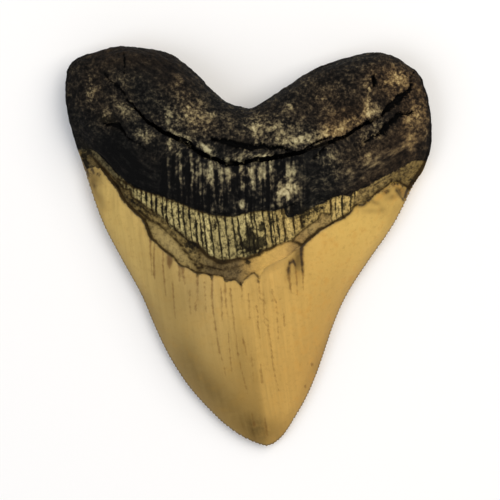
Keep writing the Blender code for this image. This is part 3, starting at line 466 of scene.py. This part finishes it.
STAINED = [
    (-20.6, 1.2, 1.0, 1.0, 0, 1.6), (0.5, 4.0, 1.0, 1.8, 0, 3.2), (1.2, 0.9, 1.3, 1.6, -30, 3.2),
    (4.5, 1.6, 1.1, 1.3, 0, 3.6), (4.4, 6.8, 0.8, 1.3, 0, 3.6), (-1.8, 0.2, 1.0, 1.8, -45, 1.6),
    (1.8, 10.0, 1.4, 0.7, 0, 1.4), (-0.3, -5.4, 1.0, 0.7, 0, 1.4), (1.0, -1.6, 4.2, 1.8, 0, 1.0),
    (-0.3, 5.1, 3.1, 3.1, 0, 0.5), (0.3, 1.2, 4.9, 2.4, 0, 0.8), (-11.5, 7.2, 0.5, 1.0, 0, 2.0),
    (-18.2, 7.5, 0.5, 1.2, 0, 2.2), (-16.1, 4.4, 1.0, 0.6, 0, 1.8), (-7.0, 1.9, 0.3, 2.1, 0, 1.6),
    (-9.4, -1.2, 0.3, 1.8, 0, 1.6), (-4.2, 0.2, 0.3, 2.4, 0, 1.6), (-15.0, 0.9, 0.3, 1.8, 0, 1.2),
    (-30.1, 14.2, 0.3, 1.4, 0, 1.4), (-32.2, 17.0, 0.4, 1.0, 0, 1.4), (-26.6, 11.7, 0.4, 1.4, 0, 1.6),
    (-24.1, 12.1, 0.3, 1.8, 0, 1.4), (-20.3, 10.7, 0.3, 1.8, 0, 1.5), (-22.4, 7.2, 0.3, 2.1, 0, 1.2),
    (-28.7, 13.5, 0.3, 1.8, 0, 1.2), (8.0, 8.6, 1.8, 1.2, 0, 1.3), (14.0, 12.1, 1.8, 1.4, 0, 0.9),
    (18.9, 11.0, 1.4, 1.8, 0, 0.55), (22.8, 11.4, 3.1, 1.8, 15, 0.4), (18.7, 8.6, 0.8, 1.8, 0, 0.9),
    (25.5, 14.2, 2.1, 1.0, 20, 0.5), (-38.8, 14.2, 5.6, 1.8, -42, 0.85), (-31.1, 9.3, 7.0, 1.1, -37, 0.4),
    (-24.8, 3.7, 4.9, 1.2, -45, 0.4), (-21.3, -0.2, 3.1, 1.5, -52, 0.48),
    (-18.2, -4.7, 3.1, 1.5, -62, 0.42), (-55.3, 26.8, 2.8, 1.8, -20, 0.55),
    (-56.3, 33.8, 3.1, 1.4, -45, 1.2), (-49.3, 27.8, 7.0, 0.6, -42, 0.5), (-42.7, 17.3, 1.4, 1.0, -45, 0.4),
    (-45.8, 21.2, 1.8, 1.0, -45, 0.8), (-51.8, 27.8, 2.8, 0.9, -48, 0.6), (-18.5, 0.2, 1.8, 1.4, -30, 1.2),
    (-57.4, 29.2, 1.0, 2.8, 15, 1.8), (-52.7, 25.2, 1.1, 0.8, -20, 0.9), (-57.7, 33.8, 1.8, 2.8, 0, 0.5),
    (-56.7, 24.7, 0.9, 1.4, 0, 0.5), (-56.3, 30.6, 1.8, 2.1, 0, 0.35), (-53.9, 21.2, 1.0, 1.0, 0, 0.35),
    (-50.8, 22.6, 1.0, 1.4, 0, 0.2), (50.8, 22.2, 1.2, 1.0, 0, 1.0), (54.2, 26.4, 1.0, 0.7, 0, 0.7),
    (47.9, 19.1, 1.0, 0.7, 10, 0.6), (57.0, 23.3, 1.8, 1.0, 0, 0.9), (52.8, 24.0, 2.8, 1.8, 30, 0.45),
    (40.9, 15.9, 2.1, 0.9, 20, 0.6), (44.4, 20.8, 1.0, 0.7, 0, 0.6), (36.8, 15.2, 0.7, 1.0, 0, 0.6),
    (-9.4, -5.4, 1.8, 1.0, 0, 0.8), (-47.6, 42.9, 4.2, 1.8, -25, 1.2), (-50.0, 43.9, 2.1, 1.0, 0, 0.8),
    (-3.8, 35.5, 7.0, 1.4, -4, 0.95), (19.2, 11.4, 1.8, 2.4, 0, 0.9), (23.1, 13.1, 3.5, 1.2, 10, 0.6),
    (-11.9, -7.5, 4.2, 0.7, 0, 0.5),
]  # fmt: skip


def patches(spots):
    """How much each point of the lingual face is covered by the spots. Their borders are soft."""
    total = np.zeros(count)
    for at_x, at_y, length, width, turn, strength in spots:
        c, s = math.cos(math.radians(turn)), math.sin(math.radians(turn))
        along, over = (x - at_x) * c + (y - at_y) * s, (y - at_y) * c - (x - at_x) * s
        total += strength * np.exp(-((along / length) ** 2) - (over / width) ** 2)
    return total


# The labial face is worn and stained in patches of its own.
worn_back = np.clip(0.35 + 0.6 * rough(14.0, 3, 12), 0, 1)
brown_back = np.clip(0.45 + 0.6 * rough(22.0, 2, 13), 0, 1)

# Left of the ridge that runs up from the tip, the flank is painted darker as shade beside the ridge, and
# browner.
FLANK_SHADE_AND_BROWN = 0.22
ridge_x = np.interp(y, [-66.0, -33.0, -15.0], [6.7, 2.5, 1.0])
shaded_left_flank = fade(x - ridge_x, 0.5, -2.0) * fade(x - ridge_x, -14, -4) * fade(y, -20, -50) * on_enamel

# Where the skin of the root is still smooth, its flecks are faint.
CALM = [
    (-41.0, 27.0, 18.0, 7.0, -25, 0.8), (48.0, 31.0, 22.0, 4.5, 32, 0.8), (-32.0, 64.0, 20.0, 7.0, -5, 0.6),
]  # fmt: skip

# Under the crevice the flecks of worn bone are drawn out along the strands.
flow_u = x + (strand - x) * grooved
flow_v = y - 0.3 * (y - 31) * grooved

# The distance from the cutting edge and the root's rim, where the two faces of the tooth meet.
border = kdtree.KDTree(count)
for edge in mesh.edges:
    a, b = edge.vertices
    if lingual[a] != lingual[b]:
        border.insert(place[a], a)
border.balance()
to_edge = np.array([border.find(p)[2] for p in place])

kept = {
    "to_margin": to_margin,
    "to_foot": to_foot,
    "to_lip": to_lip,
    "crack": crack,
    "hair": off_lines(HAIRLINES),
    # The sediment lines hold painted shadow too: under the root's lip and along the edge below the right
    # shoulder.
    "sediment": off_lines(SEDIMENT_AND_SHADE),
    "rib": rib,
    "rib_width": rib_width,
    "strand": strand,
    "flow_u": flow_u,
    "flow_v": flow_v,
    "bare": np.where(lingual, patches(BARE), worn_back),
    # On the enamel the brown value also holds painted shade: the left flank, the lower left, the tip and
    # the edges.
    "brown": np.where(lingual, patches(BROWN_AND_SHADE) + FLANK_SHADE_AND_BROWN * shaded_left_flank, brown_back * on_root),
    "stained": patches(STAINED) * lingual,
    "calm": np.clip(patches(CALM), 0, 1) * lingual,
    "relief": relief,
    "grooved": grooved,
    "to_edge": to_edge,
    "rim": np.where(lingual, fade(to_edge, 1.9, 0.3), fade(to_edge, 9.0, 0.3)),
}
for name, values in kept.items():
    mesh.attributes.new(name, "FLOAT", "POINT").data.foreach_set("value", values)

# ---------------------------------------------------------------------------------------------------------
# The finish: fossil enamel, dentine and bone
#
# Fossil enamel stays dense and takes a satin polish; minerals stain it gold. Shade is painted into it as
# well:
# it is greyer and darker on its left flank and towards its tip, and darker along its thin edge. The worn
# neck is brown dentine. The root is bone turned black by phosphate, cream where the dark skin has worn off.
# ---------------------------------------------------------------------------------------------------------


def linear(hex_colour):
    """An sRGB hex colour as the linear RGBA that a node takes."""
    channels = [int(hex_colour[k : k + 2], 16) / 255 for k in (1, 3, 5)]
    return (*[c / 12.92 if c <= 0.04045 else ((c + 0.055) / 1.055) ** 2.4 for c in channels], 1.0)


fossil = bpy.data.materials.new("fossil_enamel")
fossil.use_nodes = True
tree = fossil.node_tree
tree.nodes.clear()


def node(kind, sockets=(), output=0, stops=None, **settings):
    """Adds a node with its settings, sets or links its inputs, and returns one of its outputs.

    Sockets are a dict by name or number, or a list in the node's own order: a Map Range has the value, the
    range it comes from and the range it goes to. In a colour Mix, 0 is the share of 7 over 6, and output 2
    is the colour.
    """
    made = tree.nodes.new("ShaderNode" + kind)
    for name, value in settings.items():
        setattr(made, name, value)
    for socket, value in sockets.items() if isinstance(sockets, dict) else enumerate(sockets):
        if isinstance(value, bpy.types.NodeSocket):
            tree.links.new(value, made.inputs[socket])
        else:
            made.inputs[socket].default_value = linear(value) if isinstance(value, str) else value
    if stops:
        ramp = made.color_ramp
        while len(ramp.elements) < len(stops):
            ramp.elements.new(0.5)
        for element, (position, colour) in zip(ramp.elements, stops):
            element.position, element.color = position, linear(colour)
    return made.outputs[output] if made.outputs else None


# Values kept on the mesh, by name.
read = {name: node("Attribute", attribute_name=name, output="Fac") for name in kept}
spot = node("TexCoord", output="Object")
spot_x, spot_y, spot_z = (node("SeparateXYZ", [spot], output=axis) for axis in "XYZ")

# Noise sizes in millimetres. The speckle is the spongy bone of the root, about 1.5 mm from pore to pore.
cloud = node("TexNoise", {"Vector": spot, "Scale": 1 / (16 * MM), "Detail": 3.0})
blotch = node("TexNoise", {"Vector": spot, "Scale": 1 / (4 * MM), "Detail": 4.0, "Roughness": 0.6})
speckle = node("TexNoise", {"Vector": spot, "Scale": 1 / (1.5 * MM), "Detail": 4.0, "Roughness": 0.7})
beads = node("TexNoise", {"Vector": spot, "Scale": 1 / (1.5 * MM), "Detail": 3.0})
strand_y = node("Math", [spot_y, 60], operation="MULTIPLY")
along_strand = node("CombineXYZ", {"X": read["strand"], "Y": strand_y})
streaks = node("TexNoise", {"Vector": along_strand, "Scale": 1 / 1.6, "Detail": 3.0, "Roughness": 0.6})
fibre_y = node("Math", [spot_y, 250], operation="MULTIPLY")
along_fibre = node("CombineXYZ", {"X": read["strand"], "Y": fibre_y})
fibres = node("TexNoise", {"Vector": along_fibre, "Scale": 1 / 1.8, "Detail": 4.0, "Roughness": 0.65})
flow_z = node("Math", [spot_z, 0.7 / MM], operation="MULTIPLY")
flow = node("CombineXYZ", {"X": read["flow_u"], "Y": read["flow_v"], "Z": flow_z})
crinkled = {"Scale": 1 / 1.25, "Detail": 5.0, "Roughness": 0.7, "Distortion": 0.15}
crinkle = node("TexNoise", {"Vector": flow, **crinkled})
stroke_u = node("Math", [read["flow_u"], 0.3], operation="MULTIPLY")
along_stroke = node("CombineXYZ", {"X": stroke_u, "Y": read["to_lip"], "Z": flow_z})
stroke = node("TexNoise", {"Vector": along_stroke, "Scale": 1 / 1.6, "Detail": 4.0, "Roughness": 0.6})
column_y = node("Math", [spot_y, 130], operation="MULTIPLY")
along_column = node("CombineXYZ", {"X": read["strand"], "Y": column_y})
columns = node("TexNoise", {"Vector": along_column, "Scale": 1 / 2.0, "Detail": 2.0})
jag = node("MapRange", [speckle, 0.3, 0.7, -0.3, 0.3])

# Enamel: gold, with painted shade that turns it greyer and darker to the left and towards the tip, and
# browner in
# patches, some of them painted shade. Each layer over it is as strong as its value is far along its range:
# upright bands, mottling, painted shade along the thin edge, and specks of grime.
across = node("MapRange", [spot_x, -45 * MM, 35 * MM])
uneven = node("MapRange", [cloud, 0, 1, -0.12, 0.12])
across = node("Math", [across, uneven], operation="ADD")
# Both golds are greyer and darker to the left: painted shade on the flank turned away from the key light.
HIGH_GOLD = [(0.0, "#CCAC60"), (0.3, "#C5A45D"), (0.6, "#D1A85A"), (1.0, "#D4AF5C")]
SHADED_LOW_GOLD = [(0.0, "#AC9154"), (0.3, "#AC8F50"), (0.6, "#C7A055"), (1.0, "#C8994B")]
high = node("ValToRGB", [across], stops=HIGH_GOLD)
low = node("ValToRGB", [across], stops=SHADED_LOW_GOLD)
# Painted shade: towards the tip the enamel takes the darker gold, as its slopes face away from the light.
to_tip_shade = node("MapRange", [spot_y, 8 * MM, -45 * MM])
enamel = node("Mix", {0: to_tip_shade, 6: high, 7: low}, 2, data_type="RGBA")
# Brown patches darken the enamel towards a deep brown; many of them are painted shade.
brown_gain = node("MapRange", [blotch, 0.35, 0.65, 0.88, 1.12])
enamel_brown_and_shade = node("Math", [read["brown"], brown_gain], operation="MULTIPLY")
enamel = node("Mix", {0: enamel_brown_and_shade, 6: enamel, 7: "#5A4418"}, 2, data_type="RGBA")
streak_most = node("MapRange", [spot_x, 8 * MM, 26 * MM, 0.38, 0.05])
warm_most = node("MapRange", [spot_x, 0, 20 * MM, 0, 0.45])
for value, start, end, most, tone in (
    (streaks, 0.38, 0.7, streak_most, "#93783F"),
    (blotch, 0.5, 0.75, 0.3, "#B48C40"),
    (blotch, 0.5, 0.32, warm_most, "#C38F3C"),
    # Painted shade along the thin edge: broad where the enamel curves away, and darkest right at the edge.
    (read["to_edge"], 4.5, 0.5, 0.25, "#745A30"),
    (read["to_edge"], 0.7, 0.1, 0.75, "#4E4228"),
    (speckle, 0.52, 0.7, 0.22, "#86672E"),
):
    share = node("MapRange", [value, start, end, 0, most])
    enamel = node("Mix", {0: share, 6: enamel, 7: tone}, 2, data_type="RGBA")
hair_jag = node("MapRange", [beads, 0.35, 0.65, 0.16, -0.14])
off_hair = node("Math", [read["hair"], hair_jag], operation="ADD")
hair_dark = node("MapRange", [off_hair, 0.28, -0.34, 0, 0.72])
enamel = node("Mix", {0: hair_dark, 6: enamel, 7: "#6A4714"}, 2, data_type="RGBA")

# Neck: worn dentine, tan at its left, grey-brown in the middle, and gold where it thins out at the right.
neck_x = node("MapRange", [spot_x, -50 * MM, 50 * MM])
off_clear = node("Math", [spot_x, 8 * MM], operation="SUBTRACT")
off_clear = node("Math", [off_clear], operation="ABSOLUTE")
neck_clear = node("MapRange", [off_clear, 5 * MM, 11 * MM, 0.2, 1])
NECK_TONES = [
    (0.0, "#6A5A38"), (0.22, "#9C8650"), (0.3, "#8F7A49"), (0.36, "#655638"), (0.46, "#6E5C3C"),
    (0.51, "#B89452"), (0.55, "#CDA65A"), (0.62, "#CBA45C"), (0.655, "#9A7C4A"), (0.8, "#9E8652"),
    (0.96, "#957E4C"), (1.0, "#857042"),
]  # fmt: skip
neck = node("ValToRGB", [neck_x], stops=NECK_TONES)
neck = node("Mix", {0: read["bare"], 6: neck, 7: "#AC955E"}, 2, data_type="RGBA", clamp_factor=True)
neck_most = node("MapRange", [read["bare"], 0, 0.8, 0.8, 0.45])
neck_most = node("Math", [neck_most, neck_clear], operation="MULTIPLY")
neck_grain = node("MapRange", [crinkle, 0.57, 0.38, 0, neck_most])
neck = node("Mix", {0: neck_grain, 6: neck, 7: "#3B3020"}, 2, data_type="RGBA")
neck_end = node("MapRange", [spot_x, 32 * MM, 42 * MM, 0, 0.75])
neck_spots = node("MapRange", [speckle, 0.5, 0.6, 0, neck_end])
neck = node("Mix", {0: neck_spots, 6: neck, 7: "#3E3120"}, 2, data_type="RGBA")

# Bourlette: pale ribs with dark sediment between them, broken here and there, each rib of its own tone.
in_rib = node("Math", [read["rib"], 0.5], operation="PINGPONG")
off_gap = node("Math", [in_rib, read["rib_width"]], operation="MULTIPLY")
rib_half = node("MapRange", [fibres, 0.38, 0.62, 0, 0.48])
rib_jag = node("Math", [jag, 0.55], operation="MULTIPLY")
rib_half = node("Math", [rib_half, rib_jag], operation="ADD")
rib_dark = node("Math", [rib_half, off_gap], operation="SUBTRACT")
rib_dark = node("MapRange", [rib_dark, -0.22, 0.11])
rib_number = node("Math", [read["rib"]], operation="FLOOR")
rib_tone = node("TexWhiteNoise", {"W": rib_number}, noise_dimensions="1D")
rib_left = node("Mix", {0: rib_tone, 6: "#A49461", 7: "#D4C384"}, 2, data_type="RGBA")
rib_right = node("Mix", {0: rib_tone, 6: "#B4995A", 7: "#D6BA74"}, 2, data_type="RGBA")
to_right = node("MapRange", [spot_x, 0, 12 * MM])
ribs = node("Mix", {0: to_right, 6: rib_left, 7: rib_right}, 2, data_type="RGBA")
rib_grain = node("MapRange", [crinkle, 0.56, 0.38, 0, 0.85])
ribs = node("Mix", {0: rib_grain, 6: ribs, 7: "#39311F"}, 2, data_type="RGBA")
dash_y = node("Math", [spot_y, 330], operation="MULTIPLY")
along_dash = node("CombineXYZ", {"X": read["strand"], "Y": dash_y})
dashes = node("TexNoise", {"Vector": along_dash, "Scale": 1 / 0.8, "Detail": 3.0, "Roughness": 0.6})
dashes = node("MapRange", [dashes, 0.54, 0.66, 0, 0.75])
ribs = node("Mix", {0: dashes, 6: ribs, 7: "#2A2417"}, 2, data_type="RGBA")
plain_rib = node("Mix", {0: rib_grain, 6: "#6C6142", 7: "#2A2518"}, 2, data_type="RGBA")
rib_share = node("MapRange", [spot_x, -46.5 * MM, -43 * MM])
rib_gap = node("Math", [rib_dark, rib_share], operation="MULTIPLY")
ribs = node("Mix", {0: rib_share, 6: plain_rib, 7: ribs}, 2, data_type="RGBA")
from_left = node("MapRange", [spot_x, -32 * MM, -16 * MM])
gap_fill = node("Mix", {0: from_left, 6: "#14120D", 7: "#2B2618"}, 2, data_type="RGBA")
bourlette = node("Mix", {0: rib_gap, 6: ribs, 7: gap_fill}, 2, data_type="RGBA")

# Root: near-black, through brown to pale bone as it is more worn. The flecks stand out more where it is.
contrast = node("MapRange", [read["bare"], 0, 0.7, 1.5, 2.9])
contrast = node("Math", [read["grooved"], -1.1, contrast], operation="MULTIPLY_ADD")
contrast = node("Math", [read["brown"], -0.35, contrast], operation="MULTIPLY_ADD")
flecks = node("Math", [crinkle, 0.5], operation="SUBTRACT")
strokes = node("Math", [stroke, 0.5], operation="SUBTRACT")
flecks = node("Mix", {0: read["calm"], 2: flecks, 3: strokes})
patchy = node("Math", [blotch, 0.5], operation="SUBTRACT")
patchy = node("Math", [patchy, read["bare"]], operation="MULTIPLY")
upright = node("MapRange", [columns, 0.35, 0.65, -0.3, 0.3])
upright = node("Math", [upright, read["grooved"]], operation="MULTIPLY")
beaded = node("Math", [beads, 0.5], operation="SUBTRACT")
beaded = node("Math", [beaded, read["grooved"]], operation="MULTIPLY")
split = node("Math", [rib_dark, read["grooved"]], operation="MULTIPLY")
LEAST_WEAR = -0.13
wear = node("Math", [flecks, contrast, LEAST_WEAR], operation="MULTIPLY_ADD")
# The root is also made darker near its rim, by the rim value.
for value, gain in (
    (read["bare"], 0.5), (read["relief"], 0.12), (read["rim"], -0.33), (blotch, 0.5), (patchy, 1.3),
    (upright, 1.0), (beaded, 1.5), (split, -0.15),
):  # fmt: skip
    wear = node("Math", [value, gain, wear], operation="MULTIPLY_ADD")
BONE_TONES = ["#080808", "#191816", "#3A352B", "#6C644D", "#978E6B", "#BBB18B"]
BROWN_TONES = ["#100C09", "#281F16", "#463828", "#715C3D", "#A0895B", "#C0AA79"]
TONES_AT = [0.0, 0.18, 0.35, 0.55, 0.8, 1.0]
bone = node("ValToRGB", [wear], stops=list(zip(TONES_AT, BONE_TONES)))
brown_bone = node("ValToRGB", [wear], stops=list(zip(TONES_AT, BROWN_TONES)))
brown_share = node("MapRange", [cloud, 0.3, 0.7, -0.15, 0.25])
brown_share = node("Math", [read["brown"], brown_share], operation="ADD", use_clamp=True)
root = node("Mix", {0: brown_share, 6: bone, 7: brown_bone}, 2, data_type="RGBA")

# The parts meet in jagged borders, with dark lines along them: sediment, and painted shadow under the
# root's lip and along the edge below the right shoulder.
to_end = node("Math", [spot_x, 8 * MM], operation="ADD")
to_end = node("Math", [to_end], operation="ABSOLUTE")
vague = node("MapRange", [to_end, 42 * MM, 54 * MM, 1, 4])
margin_jag = node("Math", [jag, vague], operation="MULTIPLY")
past_margin = node("Math", [read["to_margin"], margin_jag], operation="ADD")
past_margin = node("MapRange", [past_margin, -0.15, 0.15])
past_foot = node("Math", [read["to_foot"], jag], operation="ADD")
past_foot = node("MapRange", [past_foot, -0.15, 0.15])
past_lip = node("Math", [read["to_lip"], jag], operation="ADD")
past_lip = node("MapRange", [past_lip, -0.2, 0.2])
colour = node("Mix", {0: past_margin, 6: enamel, 7: neck}, 2, data_type="RGBA")
colour = node("Mix", {0: past_foot, 6: colour, 7: bourlette}, 2, data_type="RGBA")

line_jag = node("MapRange", [beads, 0.35, 0.65, 0.28, -0.28])
line_jag = node("Math", [jag, 0.9, line_jag], operation="MULTIPLY_ADD")
off_line = node("Math", [read["sediment"], line_jag], operation="ADD")
# Painted shade: a soft brown halo beside every line, which under the enamel's margin stands for the shade
# below its step.
halo = node("MapRange", [off_line, 0.85, 0.1, 0, 0.32])
colour = node("Mix", {0: halo, 6: colour, 7: "#4E3C1C"}, 2, data_type="RGBA")
on_line = node("MapRange", [off_line, 0.25, -0.25, 0, 0.9])
colour = node("Mix", {0: on_line, 6: colour, 7: "#261A09"}, 2, data_type="RGBA")
colour = node("Mix", {0: past_lip, 6: colour, 7: root}, 2, data_type="RGBA")
on_bone = node("MapRange", [crinkle, 0.35, 0.65, 1.4, 0.3])
on_enamel = node("MapRange", [speckle, 0.42, 0.62, 0.25, 1.7])
stain = node("Mix", {0: past_margin, 2: on_enamel, 3: on_bone})
stain = node("Math", [stain, read["stained"]], operation="MULTIPLY")
stain = node("MapRange", [stain, 0.1, 0.9, 0, 0.92])
stain_tone = node("Mix", {0: past_margin, 6: "#35240C", 7: "#14110B"}, 2, data_type="RGBA")
colour = node("Mix", {0: stain, 6: colour, 7: stain_tone}, 2, data_type="RGBA")
# Painted shade: the cracks are painted near-black, darker than any bone, for the shade deep inside them.
crack_jag = node("MapRange", [crinkle, 0.35, 0.65, -0.5, 0.6])
in_crack = node("Math", [read["crack"], crack_jag], operation="ADD")
in_crack = node("MapRange", [in_crack, 0.3, 0])
colour = node("Mix", {0: in_crack, 6: colour, 7: "#020202"}, 2, data_type="RGBA")

gloss = node("Mix", {0: past_margin, 2: 0.42, 3: 0.75})
gloss_jag = node("Math", [jag, 0.15], operation="MULTIPLY")
gloss = node("Math", [gloss, gloss_jag], operation="ADD")
bone_bump = node("Math", [crinkle, past_margin], operation="MULTIPLY")
groove = node("Math", [hair_dark, -0.15], operation="MULTIPLY")
height = node("Math", [bone_bump, groove], operation="ADD")
bump = node("Bump", {"Height": height, "Strength": 0.7, "Distance": 0.7 * MM})
shader = node("BsdfPrincipled", {"Base Color": colour, "Roughness": gloss, "Normal": bump, "IOR": 1.55})
node("OutputMaterial", {"Surface": shader})
shader.node.inputs["Specular IOR Level"].default_value = 0.22

# The root's bone is dry and dull. It reads the same values as the enamel, so that their border can be
# jagged.
bone_finish = fossil.copy()
bone_finish.name = "fossil_root_bone"
bone_finish.node_tree.nodes[shader.node.name].inputs["Specular IOR Level"].default_value = 0.05

mesh.materials.clear()
mesh.materials.append(fossil)
mesh.materials.append(bone_finish)
face_to_margin = np.array([to_margin[list(face.vertices)].mean() for face in mesh.polygons])
mesh.polygons.foreach_set("material_index", (face_to_margin > 0).astype(int))
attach(tooth, "root")
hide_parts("tooth")

# ---------------------------------------------------------------------------------------------------------
# The studio: a plain pale table under soft light
# ---------------------------------------------------------------------------------------------------------

bpy.ops.mesh.primitive_plane_add(size=4.0, location=(0, 0, -0.0001))
floor = bpy.context.object
floor.name = "floor"
paper = bpy.data.materials.new("matt_white_paper")
paper.use_nodes = True
paper_shader = paper.node_tree.nodes["Principled BSDF"]
paper_shader.inputs["Base Color"].default_value = linear("#FBFBFB")
paper_shader.inputs["Roughness"].default_value = 0.9
floor.data.materials.append(paper)

world = bpy.data.worlds.new("studio")
world.use_nodes = True
world.node_tree.nodes["Background"].inputs["Color"].default_value = linear("#F3F5F8")
world.node_tree.nodes["Background"].inputs["Strength"].default_value = 0.46
bpy.context.scene.world = world


def softbox(name, at, size, power, colour):
    """A square area light that faces the middle of the tooth."""
    light = bpy.data.lights.new(name, "AREA")
    light.size = size
    light.energy = power
    light.color = linear(colour)[:3]
    lamp = bpy.data.objects.new(name, light)
    lamp.location = at
    lamp.rotation_euler = (-Vector(at)).to_track_quat("-Z", "Y").to_euler()
    bpy.context.scene.collection.objects.link(lamp)


softbox("key", (0.6, 0.45, 1.05), 1.3, 13.5, "#FFF8EE")
softbox("fill", (-0.9, -0.3, 1.1), 1.0, 5.5, "#F2F6FF")

# A long lens straight above the tooth. 500 pixels are 175 mm at the height of its outline.
LENS, SENSOR = 200.0, 36.0
VIEW_WIDTH = 175.0
OUTLINE_HEIGHT = 8.0
camera_data = bpy.data.cameras.new("camera")
camera_data.lens = LENS
camera_data.sensor_width = SENSOR
camera = bpy.data.objects.new("camera", camera_data)
camera.location = Vector((0.35, -1.2, OUTLINE_HEIGHT + VIEW_WIDTH * LENS / SENSOR)) * MM
bpy.context.scene.collection.objects.link(camera)
bpy.context.scene.camera = camera
bpy.context.scene.view_settings.view_transform = "Standard"
